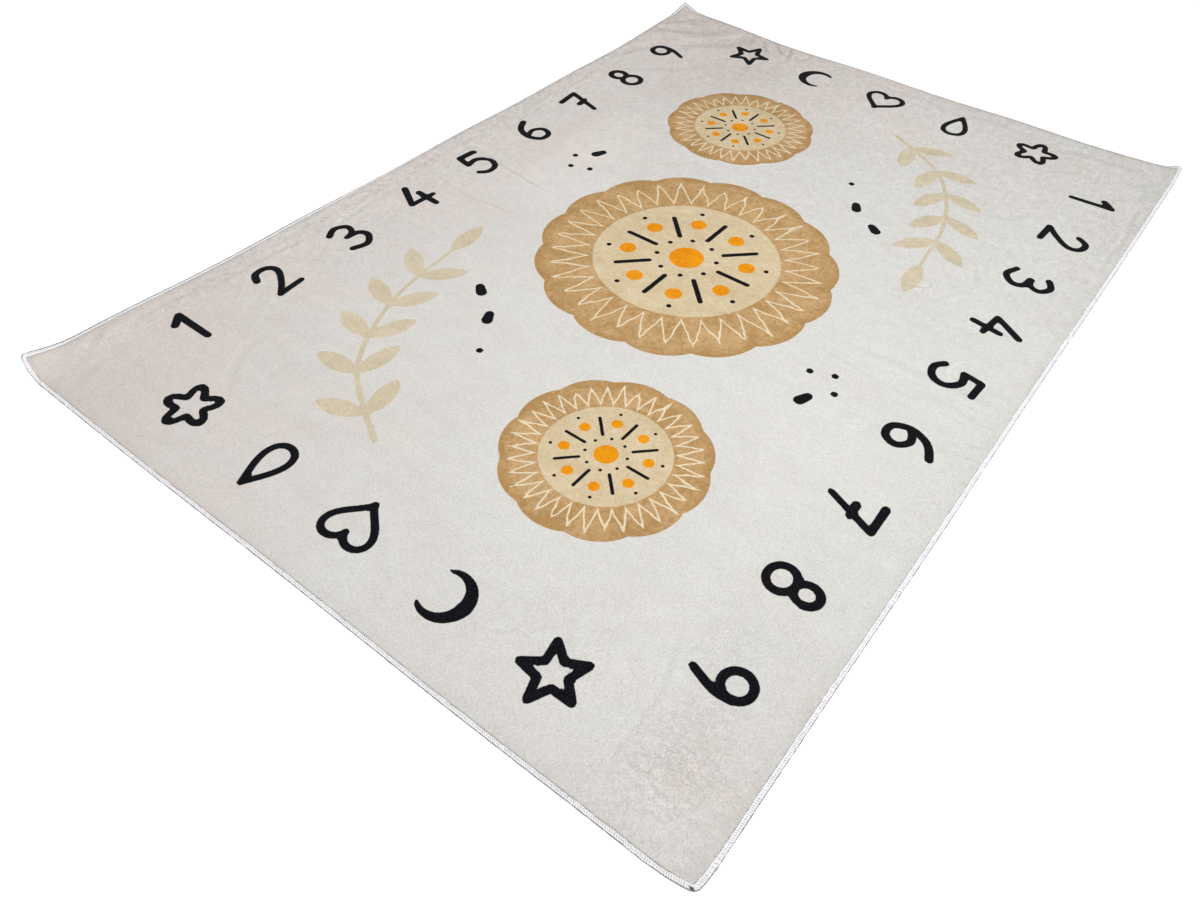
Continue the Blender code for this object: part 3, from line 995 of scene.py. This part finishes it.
def make_pile_fringe(material, dice):
    """Short tufts of the pile that lean out over the thread along the whole rim."""
    count = int(PERIMETER * FRINGE_PER_METRE)
    along = np.sort(dice.uniform(0, PERIMETER, count))
    clump = 0.6 + 0.4 * np.sin(along * 97) * np.sin(along * 41 + 1)
    leaning = lip(*on_edge(along, LEAN_INSET))[0]
    root_inset = dice.uniform(*ROOT_INSET, count) - LIP_REACH * leaning
    reach = FRINGE_REACH * dice.uniform(0.4, 1.1, count) * clump
    root_height = dice.uniform(*ROOT_HEIGHT, count) + LIP_RISE * leaning
    root = edge_point(along, root_inset, root_height)
    tip_along = along + dice.normal(0, 0.0006, count)
    tip_height = dice.uniform(*TIP_HEIGHT, count) + 0.6 * LIP_RISE * leaning
    tip = edge_point(tip_along, root_inset - reach, tip_height)
    level = np.full(count, SIDE_HEIGHT)
    ahead = edge_point(along + GUIDE_STEP, root_inset, level)
    side = unit(ahead - edge_point(along, root_inset, level))
    up = unit(np.cross(tip - root, side))
    half = dice.uniform(*HALF_WIDTH, (count, 1))
    verts = np.stack([root - side * half, root + side * half, root + up * half, tip], axis=1)
    verts = verts.reshape(-1, 3)
    base = 4 * np.arange(count)[:, None]
    faces = (base[:, None] + np.array([(0, 1, 2), (0, 3, 1), (1, 3, 2), (2, 3, 0)])).reshape(-1, 3)
    fringe = new_object("pile_fringe", verts, faces.tolist(), [material])
    # Painted shade: each tuft is darker at its root, the more where the pile leans out over the thread.
    shade = np.repeat(leaning, 4) * np.tile((1.0, 1.0, 1.0, 0.3), count)
    store(fringe.data, "root_shade", shade)
    return fringe


# ---------------------------------------------------------------- materials
NOISE_LOW, NOISE_HIGH = 0.3, 0.7      # most of a noise texture lies between them


class Nodes:
    """Short ways of adding and linking shader nodes in one material."""

    def __init__(self, name):
        self.material = bpy.data.materials.new(name)
        self.material.use_nodes = True
        self.tree = self.material.node_tree
        self.shader = self.tree.nodes["Principled BSDF"]

    def put(self, socket, value):
        if isinstance(value, bpy.types.NodeSocket):
            self.tree.links.new(value, socket)
        elif value is not None:
            socket.default_value = value

    def fill(self, node, **values):
        """Sets or links inputs by name, with an underscore for each space in a name."""
        for name, value in values.items():
            self.put(node.inputs[name.replace("_", " ")], value)

    def new(self, kind, *values, **settings):
        """A node with these settings, whose first inputs have these values or links."""
        node = self.tree.nodes.new("ShaderNode" + kind)
        for name, setting in settings.items():
            setattr(node, name, setting)
        for socket, value in zip(node.inputs, values):
            self.put(socket, value)
        return node

    def math(self, operation, *values):
        return self.new("Math", *values, operation=operation).outputs[0]

    def chain(self, operation, total, *others):
        """An operation on two values, repeated with each of the others."""
        for value in others:
            total = self.math(operation, total, value)
        return total

    def add(self, *values):
        return self.chain("ADD", *values)

    def less(self, *values):
        return self.chain("SUBTRACT", *values)

    def times(self, *values):
        return self.chain("MULTIPLY", *values)

    def highest(self, *values):
        return self.chain("MAXIMUM", *values)

    def lowest(self, *values):
        return self.chain("MINIMUM", *values)

    def absolute(self, value):
        return self.math("ABSOLUTE", value)

    def remap(self, value, low, high, to_low=0.0, to_high=1.0):
        return self.new("MapRange", value, low, high, to_low, to_high).outputs[0]

    def vary(self, noise, low, high):
        """A noise texture, spread between two values."""
        return self.remap(noise, NOISE_LOW, NOISE_HIGH, low, high)

    def mix(self, share, a, b, blend="MIX"):
        node = self.new("Mix", share, data_type="RGBA", blend_type=blend)
        self.put(node.inputs[6], a)
        self.put(node.inputs[7], b)
        return node.outputs[2]

    def attribute(self, name, output="Fac"):
        return self.new("Attribute", attribute_name=name).outputs[output]

    def noise(self, vector, scale, detail=2.0, roughness=0.5, distortion=0.0):
        node = self.new("TexNoise")
        self.fill(node, Vector=vector, Scale=scale, Detail=detail)
        self.fill(node, Roughness=roughness, Distortion=distortion)
        return node.outputs["Fac"]

    def stretch(self, vector, scale, turn=0.0):
        node = self.new("Mapping")
        self.fill(node, Vector=vector, Scale=scale, Rotation=(0, 0, turn))
        return node.outputs[0]

    def split(self, vector):
        return self.new("SeparateXYZ", vector).outputs

    def bump(self, height, distance, strength):
        node = self.new("Bump")
        self.fill(node, Height=height, Distance=distance, Strength=strength)
        return node.outputs[0]

    def place(self):
        """Where a point is in its object."""
        return self.new("TexCoord").outputs["Object"]


def srgb(red, green, blue):
    """A colour given as 0 to 255, in the linear values that shaders use."""
    def linear(value):
        value /= 255
        return value / 12.92 if value <= 0.04045 else ((value + 0.055) / 1.055) ** 2.4
    return (linear(red), linear(green), linear(blue), 1.0)


# A pair holds the two colours that a surface varies between.
GROUND = srgb(218, 217, 213), srgb(221, 211, 206)
TAN = srgb(176, 138, 88), srgb(204, 169, 123)
BEIGE = srgb(206, 185, 147), srgb(220, 203, 171)
LEAF = srgb(203, 191, 165), srgb(217, 204, 179)
CREAM = srgb(232, 218, 188)
ORANGE = srgb(226, 138, 6), srgb(240, 160, 22)
INK = srgb(6, 9, 17), srgb(32, 29, 30)
THREAD_WHITE = srgb(243, 243, 247), srgb(254, 254, 255)
# Painted shade: the thread under the wraps is grey for the shade in the slits between them.
CORE_SHADE = srgb(180, 178, 189), srgb(204, 202, 212)
# Painted shadow: the rim thread's dark grey stands for the shade under the edge.
RIM_SHADOW = srgb(120, 115, 113), srgb(150, 145, 142)
LOOSE = srgb(70, 62, 60), srgb(96, 88, 84)
TIPS = GROUND[1], srgb(228, 227, 224)
# Painted shade at the roots of the tufts.
FRINGE_ROOT_SHADE = srgb(158, 148, 142)
BACKING = srgb(162, 155, 144), srgb(186, 180, 170)

EDGE_SOFTNESS = 0.0005     # of a printed edge
EDGE_RAGGED = 0.0010       # how far pile carries colour over a printed edge
TAN_RIM = 0.020            # width of the darker rim of the tan
RAY_COUNT = 34
RAY_INNER, RAY_OUTER = 0.655, 0.905
RAY_HALF_WIDTH = 0.0013
NAP_SHADE = 0.020          # how much the painted sheen and shade of a brushed patch lighten the pile
NAP_WARMTH = 0.09          # and how much less warm it looks
WARM_FROM = -0.10          # the plan v from which the cloth looks warmer, up to its far long side
WARM_ENDS = 0.45           # the plan u, either way, past which it does too


def plush_material():
    g = Nodes("plush_pile")
    plan = g.attribute("plan", "Vector")
    fine = g.noise(plan, 430, 1.0, 0.6, 0.9)
    grain = g.noise(plan, 190, 2.0, 0.6)
    clump = g.noise(g.stretch(plan, (1.0, 0.42, 1.0), radians(4)), 66, 3.0, 0.6, 0.4)
    fold = g.noise(g.stretch(plan, (1.0, 0.30, 1.0), radians(3)), 26, 3.0, 0.55, 0.3)
    brushed = g.add(g.noise(plan, 60, 3.0, 0.65, 1.6), g.vary(g.noise(plan, 16, 2.0), -0.12, 0.12))
    ragged = g.times(g.less(grain, 0.5), EDGE_RAGGED)

    def printed(under, distance, low, high, colours, texture=brushed):
        """A colour, with colours printed over it where the distance is below 0."""
        inside = g.remap(g.add(distance, ragged), -EDGE_SOFTNESS, EDGE_SOFTNESS, 1.0, 0.0)
        return g.mix(inside, under, g.mix(g.remap(texture, low, high), *colours))

    tan = g.attribute("tan")
    rimmed = g.add(brushed, g.remap(tan, -TAN_RIM, 0.0, 0.0, -0.16))
    berries, marks = sun_marks(g)
    colour = g.mix(warm_share(g, plan), *GROUND)
    colour = printed(colour, tan, 0.32, 0.68, TAN, rimmed)
    colour = printed(colour, rays(g), 0.0, 1.0, (CREAM, CREAM))
    colour = printed(colour, g.attribute("beige"), 0.30, 0.70, BEIGE)
    colour = printed(colour, g.attribute("leaf"), 0.30, 0.70, LEAF)
    colour = printed(colour, berries, 0.35, 0.70, ORANGE)
    colour = printed(colour, g.lowest(marks, g.attribute("ink")), 0.48, 0.70, INK, fine)

    curls, wrinkles = crumples(g, plan)
    bright = g.add(
        g.remap(fine, 0.2, 0.8, -0.17, 0.17),
        g.vary(grain, -0.016, 0.016),
        g.vary(clump, -0.022, 0.022),
        g.vary(fold, -0.018, 0.018),
        g.times(g.attribute("nap"), NAP_SHADE),
        crease_shade(g, clump),
        scuffs(g, plan),
        g.add(curls, wrinkles),
        edge_shade(g, plan, clump),
        far_shade(g, plan),
        1.0,
    )
    level = g.new("CombineXYZ", bright, bright, bright).outputs[0]
    height = g.add(g.times(fine, 0.7), g.times(clump, 0.5), g.times(grain, 0.5))
    height = g.add(height, g.times(wrinkles, 12.0))
    g.fill(g.shader, Base_Color=g.mix(1.0, colour, level, "MULTIPLY"))
    g.fill(g.shader, Normal=g.bump(height, 0.0010, 0.55))
    g.fill(g.shader, Roughness=g.vary(clump, 0.86, 0.98), Specular_IOR_Level=0.10)
    g.fill(g.shader, Sheen_Weight=0.05, Sheen_Roughness=0.45)
    return g.material


def warm_share(g, plan):
    """How warm the undyed ground looks: more towards the far long side, and in soft blotches."""
    u, v, _ = g.split(plan)
    ends = g.remap(g.absolute(u), WARM_ENDS, LENGTH / 2, 0.0, 0.35)
    blotch = g.noise(g.stretch(plan, (1.0, 0.7, 1.0)), 9.0, 2.0, 0.55, 0.5)
    warm = g.add(g.remap(v, WARM_FROM, WIDTH / 2, -0.12, 0.72), ends, g.attribute("warm_spot"))
    warm = g.less(warm, g.times(g.attribute("nap"), NAP_WARMTH))
    return g.add(warm, g.vary(blotch, -0.28, 0.28), g.vary(g.noise(plan, 34.0, 2.0), -0.20, 0.20))


def crease_shade(g, uneven):
    """The pile's painted shade and highlight in and beside a crease: dark in its trough, light on its
    ridges.
    """
    def bell(off):
        return g.math("EXPONENT", g.times(off, off, -1.0))

    beside = g.add(g.attribute("crease_beside"), g.vary(uneven, -0.35, 0.35))
    ridge = g.times(bell(g.less(g.absolute(beside), RIDGE_AT)), RIDGE_HEIGHT)
    return g.times(g.attribute("crease_shade_and_wear"), g.less(ridge, bell(beside)))


def crumples(g, plan):
    """The pile's lightness in its fine curls, which run all over it, and the painted light and shade of
    the wrinkles in its crumpled places, which the same noise also bumps."""
    crumple = g.attribute("crumple")
    curl = g.absolute(g.less(g.noise(plan, 85, 1.0, 0.5, 1.3), 0.5))
    curls = g.times(g.remap(curl, 0.0, 0.14, 0.045, -0.020), g.remap(crumple, 0.0, 1.0, 0.35, 1.0))
    wrinkle = g.noise(g.stretch(plan, (1.0, 0.6, 1.0), radians(35)), 130, 3.0, 0.6, 1.6)
    return curls, g.times(g.remap(wrinkle, 0.35, 0.65, -0.085, 0.085), crumple)


def far_shade(g, plan):
    """Coarser unevenness of the pile, toward the short far side and along the long one."""
    u, v, _ = g.split(plan)
    long_side = g.times(g.remap(v, 0.40, 0.62), g.remap(u, -0.90, -0.30, 0.35, 1.20))
    share = g.highest(g.remap(u, -0.2, 0.80, 0.1, 1.0), long_side)
    coarse = g.noise(g.stretch(plan, (0.7, 1.0, 1.0)), 95, 3.0, 0.75, 0.5)
    return g.times(g.vary(coarse, -0.125, 0.125), share)


# Painted shade: the dark line where the pile meets the seam, on each side: outward axis and way, its
# inset, half its width, how dark it is, and where along the side it is fainter, and how far each way.
SEAM_SHADE_LINES = (
    (0, -1, 0.0062, 0.0019, -0.16, 2.0, 1.0),
    (0, 1, 0.0090, 0.0060, -0.19, 0.1, 0.4),
    (1, 1, 0.0088, 0.0048, -0.14, -0.8, 0.7),
    (1, -1, 0.0080, 0.0018, -0.04, 2.0, 1.0),
)
FAINTEST = 0.30            # share of its darkness left there
PINCH_SHADOW = -0.055      # of a softer shadow beside it
SEAM_SHADOW_REACH = 0.022        # and how far in that goes


def edge_shade(g, plan, uneven):
    """Painted shade on the pile along the seam: a dark line where they meet, and a softer shadow beside
    it.
    """
    place = g.split(plan)
    total = 0.0
    for axis, way, line_inset, half_width, dark, faint_at, faint_reach in SEAM_SHADE_LINES:
        inset = g.less((LENGTH, WIDTH)[axis] / 2, g.times(place[axis], way))
        line = g.remap(g.absolute(g.less(inset, line_inset)), 0.0, half_width, dark, 0.0)
        along = g.absolute(g.less(place[1 - axis], faint_at))
        soft = g.remap(inset, BAND_WIDTH, BAND_WIDTH + SEAM_SHADOW_REACH, PINCH_SHADOW, 0.0)
        total = g.add(total, g.times(line, g.remap(along, 0.0, faint_reach, FAINTEST, 1.0)))
        total = g.add(total, g.times(soft, g.remap(uneven, 0.35, 0.65, 0.2, 1.6)))
    return total


def from_point(g, x, y, at):
    """Distance from (x, y) to a point on the x axis."""
    dx = g.less(x, at)
    return g.math("SQRT", g.add(g.times(dx, dx), g.times(y, y)))


def sun_polar(g, repeats):
    """In a sun: the distance out, the angle folded into one repeat, and the sun's radius."""
    x, y, radius = g.split(g.attribute("sun_place", "Vector"))
    angle = g.math("ARCTAN2", y, x)
    return from_point(g, x, y, 0.0), g.math("PINGPONG", angle, pi / repeats), radius


def sun_marks(g):
    """Distances to the orange discs and to the ink marks in a sun's middle."""
    out, folded, radius = sun_polar(g, SPOKES)

    def turned(angle):
        return g.times(out, g.math("COSINE", angle)), g.times(out, g.math("SINE", angle))

    x, y = turned(folded)
    beyond = g.highest(g.less(SPOKE_START, x), g.less(x, SPOKE_END), 0.0)
    spoke = g.less(from_point(g, beyond, y, 0.0), SPOKE_HALF)

    x, y = turned(g.less(pi / SPOKES, folded))
    dots = g.lowest(from_point(g, x, y, INNER_DOT_AT), from_point(g, x, y, OUTER_DOT_AT))
    ink = g.lowest(spoke, g.less(dots, DOT))
    orange = g.lowest(g.less(from_point(g, x, y, BERRY_AT), BERRY), g.less(out, HUB))
    tan = g.attribute("tan")
    return tuple(g.highest(g.times(d, radius), tan) for d in (orange, ink))


def rays(g):
    """Distance to the thin zigzag stroke that runs round a sun's ring."""
    out, folded, radius = sun_polar(g, RAY_COUNT)
    uneven = g.noise(g.attribute("sun_place", "Vector"), 9.0, 1.0)
    reach = g.times(g.times(folded, RAY_COUNT / pi), g.vary(uneven, 0.70, 1.05))
    line = g.add(g.times(reach, RAY_OUTER - RAY_INNER), RAY_INNER)
    slope = (RAY_OUTER - RAY_INNER) * RAY_COUNT / (pi * (RAY_OUTER + RAY_INNER) / 2)
    across = g.times(g.absolute(g.less(out, line)), cos(atan(slope)))
    return g.highest(g.less(g.times(across, radius), RAY_HALF_WIDTH), g.attribute("tan"))


def scuffs(g, plan):
    """Where the pile has been rubbed up: pale flecks and short curved strokes."""
    lines = g.noise(g.stretch(plan, (1.0, 0.45, 1.0), radians(-20)), 90, 2.0, 0.55, 2.5)
    flecks = g.remap(g.noise(plan, 170, 2.0, 0.6), 0.54, 0.70, 0.0, 0.20)
    return g.times(g.attribute("scuff"), g.add(flecks, g.remap(lines, 0.40, 0.66, -0.06, 0.06)))


WARP_PITCH, WEFT_PITCH = 0.0022, 0.0026


def backing_material():
    """Plain woven backing: two crossing ribs a couple of millimetres apart."""
    g = Nodes("woven_backing")
    plan = g.attribute("plan", "Vector")
    u, v, _ = g.split(plan)
    warp = g.math("SINE", g.times(u, 2 * pi / WARP_PITCH))
    weft = g.math("SINE", g.times(v, 2 * pi / WEFT_PITCH))
    fibre = g.noise(plan, 300, 3.0, 0.6)
    level = g.add(g.times(warp, weft, 0.35), fibre)
    g.fill(g.shader, Base_Color=g.mix(g.remap(level, 0.2, 0.9), *BACKING))
    g.fill(g.shader, Normal=g.bump(level, 0.0005, 0.6), Roughness=g.vary(fibre, 0.82, 0.95))
    return g.material


def thread_material(name, colours):
    g = Nodes(name)
    place = g.place()
    fibre = g.noise(place, 1500, 2.0, 0.6)
    uneven = g.noise(place, 60, 2.0, 0.6)
    g.fill(g.shader, Base_Color=g.mix(g.remap(g.add(fibre, uneven), 0.7, 1.2), *colours))
    g.fill(g.shader, Normal=g.bump(fibre, 0.0002, 0.5), Roughness=g.vary(fibre, 0.5, 0.7))
    g.fill(g.shader, Sheen_Weight=0.1)
    return g.material


def fringe_material():
    g = Nodes("pile_tips")
    tips = g.mix(g.noise(g.place(), 500, 1.0), *TIPS)
    # Painted shade at the roots of the tufts.
    root_shade = g.times(g.attribute("root_shade"), 0.7)
    g.fill(g.shader, Base_Color=g.mix(root_shade, tips, FRINGE_ROOT_SHADE))
    g.fill(g.shader, Roughness=0.9, Specular_IOR_Level=0.15)
    return g.material


# ---------------------------------------------------------------- stage
# The camera's place and heading, as found from the rug's four corners in the photograph.
CAMERA_PLACE = Vector((-1.2658, -0.7744, 1.0412))
CAMERA_HEADING = radians(35.6995)
CAMERA_DOWN = radians(46.8863)
CAMERA_ROLL = radians(2.225)
FOCAL_SHARE = 924.3264 / 1200     # focal length over the picture's width
SHIFT_X = -21.67 / 1200
SENSOR_WIDTH = 36                 # millimetres
FLOOR_HALF = 9.0
FLOOR_DROP = 0.0004               # how far the floor is below the cloth
FLOOR_GLOW = 0.50
WORLD_STRENGTH = 0.41


def make_camera():
    data = bpy.data.cameras.new("camera")
    data.sensor_width = SENSOR_WIDTH
    data.lens = SENSOR_WIDTH * FOCAL_SHARE
    data.shift_x = SHIFT_X
    level = cos(CAMERA_DOWN)
    ahead = Vector((cos(CAMERA_HEADING) * level, sin(CAMERA_HEADING) * level, -sin(CAMERA_DOWN)))
    level_right = ahead.cross(Vector((0, 0, 1))).normalized()
    level_down = ahead.cross(level_right)
    right = cos(CAMERA_ROLL) * level_right - sin(CAMERA_ROLL) * level_down
    down = sin(CAMERA_ROLL) * level_right + cos(CAMERA_ROLL) * level_down
    camera = bpy.data.objects.new("camera", data)
    turn = Matrix((right, -down, -ahead)).transposed()
    camera.matrix_world = Matrix.Translation(CAMERA_PLACE) @ turn.to_4x4()
    bpy.context.scene.collection.objects.link(camera)
    bpy.context.scene.camera = camera


def make_light(name, kind, energy, place, aim, **settings):
    data = bpy.data.lights.new(name, kind)
    data.energy = energy
    for key, value in settings.items():
        setattr(data, key, value)
    light = bpy.data.objects.new(name, data)
    light.location = place
    light.rotation_euler = (Vector(aim) - Vector(place)).to_track_quat("-Z", "Y").to_euler()
    bpy.context.scene.collection.objects.link(light)


def make_stage():
    g = Nodes("pale_floor")
    g.fill(g.shader, Base_Color=(0.93, 0.93, 0.93, 1), Roughness=0.8, Specular_IOR_Level=0.1)
    g.fill(g.shader, Emission_Color=(1, 1, 1, 1), Emission_Strength=FLOOR_GLOW)
    corners = FLOOR_HALF * np.array([(-1, -1, 0), (1, -1, 0), (1, 1, 0), (-1, 1, 0)])
    floor = new_object("floor", corners - (0, 0, FLOOR_DROP), [(0, 1, 2, 3)], [g.material])

    world = bpy.data.worlds.new("studio")
    world.use_nodes = True
    background = world.node_tree.nodes["Background"]
    background.inputs["Color"].default_value = (1.0, 0.995, 0.985, 1)
    background.inputs["Strength"].default_value = WORLD_STRENGTH
    bpy.context.scene.world = world
    make_light("key", "SUN", 0.95, (-0.6, -1.8, 1.6), (0, 0, 0), angle=radians(12))
    make_light("overhead", "AREA", 19.8, (-0.22, -0.42, 2.0), (-0.22, -0.42, 0), shape="DISK", size=0.7)
    bpy.context.scene.view_settings.view_transform = "Standard"


# ---------------------------------------------------------------- putting it together
def main():
    make_camera()
    make_stage()
    cloth = make_cloth(plush_material(), backing_material())
    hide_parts("rug_panel")

    dice = np.random.default_rng(23)
    thread = thread_material("edging_thread", THREAD_WHITE)
    rim_shadow_thread = thread_material("edging_rim_shadow", RIM_SHADOW)
    # The base thread's grey is painted shade in the slits between the wraps.
    base = make_edge_base(thread_material("edging_core_shade", CORE_SHADE))
    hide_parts("serged_edge")
    edging = [base]
    for number, (start, end) in enumerate(quarter_ranges(), 1):
        edging.append(make_wraps(f"edging_wraps_{number}", start, end, thread, dice))
        for rail in RAILS:
            material = rim_shadow_thread if rail.dark else thread
            edging.append(make_rail(f"edging_{rail.name}_{number}", rail, start, end, material, dice))
    nearest_corner = list(quarter_ranges())[3][0]
    edging.append(make_loose_ends(nearest_corner, thread_material("loose_thread", LOOSE)))
    fringe = make_pile_fringe(fringe_material(), dice)

    for piece in (cloth, fringe, *edging):
        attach(piece, "root")


main()
